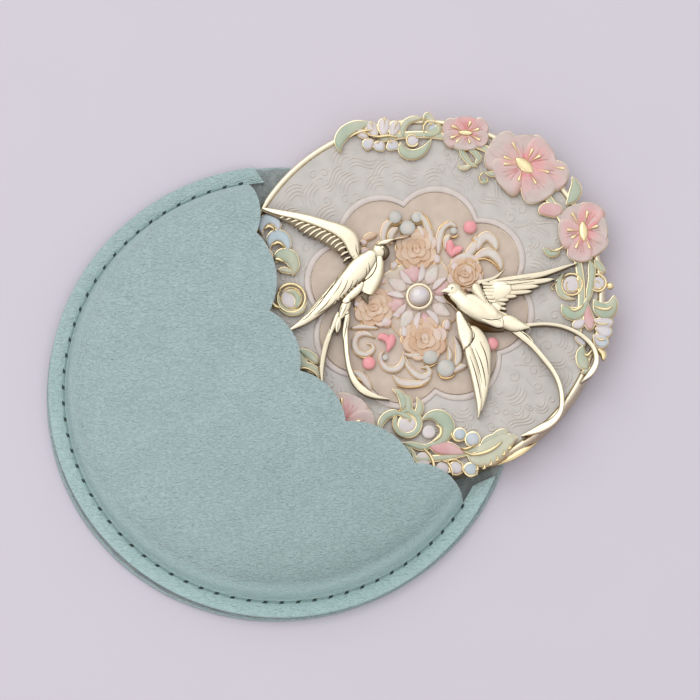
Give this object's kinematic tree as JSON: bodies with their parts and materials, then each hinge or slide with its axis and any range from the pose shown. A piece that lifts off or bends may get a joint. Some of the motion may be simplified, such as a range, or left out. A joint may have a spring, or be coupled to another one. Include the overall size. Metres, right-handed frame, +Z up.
{
  "type": "pocket mirror",
  "caption": "Round pocket mirror with an enamelled relief back that slides out of a round leather sleeve with a scalloped mouth.",
  "frame": {"origin": "centre of the sleeve's round back panel, on the face that lies on the table", "axes": "+Z up from the sleeve's back to its front, +X the way the mirror slides out of the mouth"},
  "size_m": [0.126, 0.0972, 0.0097],
  "materials": {
    "teal_leather": "pebbled matt leather",
    "grey_suede": "napped suede",
    "teal_thread": "waxed thread",
    "plated_gold": "polished pale gold plating",
    "silvered_glass": "polished",
    "white_tape": "foam tape",
    "grey_enamel": "smooth enamel with low relief",
    "beige_enamel": "satin enamel",
    "blush_enamel": "satin enamel",
    "pink_enamel": "translucent enamel",
    "rose_enamel": "glossy enamel",
    "green_enamel": "translucent enamel",
    "lilac_enamel": "translucent enamel",
    "tan_enamel": "satin enamel",
    "pearl_white": "pearl lustre"
  },
  "bodies": {
    "sleeve": {"sleeve_front_panel": "teal_leather", "sleeve_front_lining": "grey_suede", "sleeve_back_panel": "teal_leather", "sleeve_back_lining": "grey_suede", "needle_thread": "teal_thread", "bobbin_thread": "teal_thread"},
    "mirror": {"case_casting": "plated_gold", "mirror_glass": "silvered_glass", "adhesive_tape": "white_tape", "field_enamel": "grey_enamel", "medallion_floor": "beige_enamel", "medallion_ridge": "blush_enamel", "rosette_casting": "plated_gold", "rosette_petals": "lilac_enamel", "carved_blossom_1": "tan_enamel", "carved_blossom_2": "tan_enamel", "carved_blossom_3": "tan_enamel", "carved_blossom_4": "tan_enamel", "heart_1": "rose_enamel", "heart_2": "rose_enamel", "pink_bead_1": "rose_enamel", "pink_bead_2": "rose_enamel", "pink_bead_3": "rose_enamel", "pale_bead_1": "pearl_white", "pale_bead_2": "pearl_white", "pale_bead_3": "pearl_white", "pearl_cup": "plated_gold", "pearl": "pearl_white", "left_swallow": "plated_gold", "right_swallow": "plated_gold", "upper_garland_casting": "plated_gold", "upper_blossom_1": "pink_enamel", "upper_blossom_2": "pink_enamel", "upper_blossom_3": "pink_enamel", "upper_stamen_1": "plated_gold", "upper_stamen_2": "plated_gold", "upper_stamen_3": "plated_gold", "upper_leaf_1": "green_enamel", "upper_leaf_2": "green_enamel", "upper_leaf_3": "green_enamel", "upper_leaf_4": "green_enamel", "upper_leaf_5": "green_enamel", "upper_leaf_6": "green_enamel", "upper_bud_1": "rose_enamel", "upper_bud_2": "rose_enamel", "lower_garland_casting": "plated_gold", "lower_blossom_1": "pink_enamel", "lower_blossom_2": "pink_enamel", "lower_stamen_1": "plated_gold", "lower_stamen_2": "plated_gold", "lower_leaf_1": "green_enamel", "lower_leaf_2": "green_enamel", "lower_leaf_3": "green_enamel", "lower_leaf_4": "green_enamel", "lower_leaf_5": "green_enamel", "lower_leaf_6": "green_enamel", "lower_bud_1": "rose_enamel", "lower_bud_2": "rose_enamel"}
  },
  "joints": [
    {"name": "mirror_slide", "type": "slide", "parent": "sleeve", "child": "mirror", "axis": [1, 0, 0], "range_m": [-0.0335, 0.013]}
  ]
}
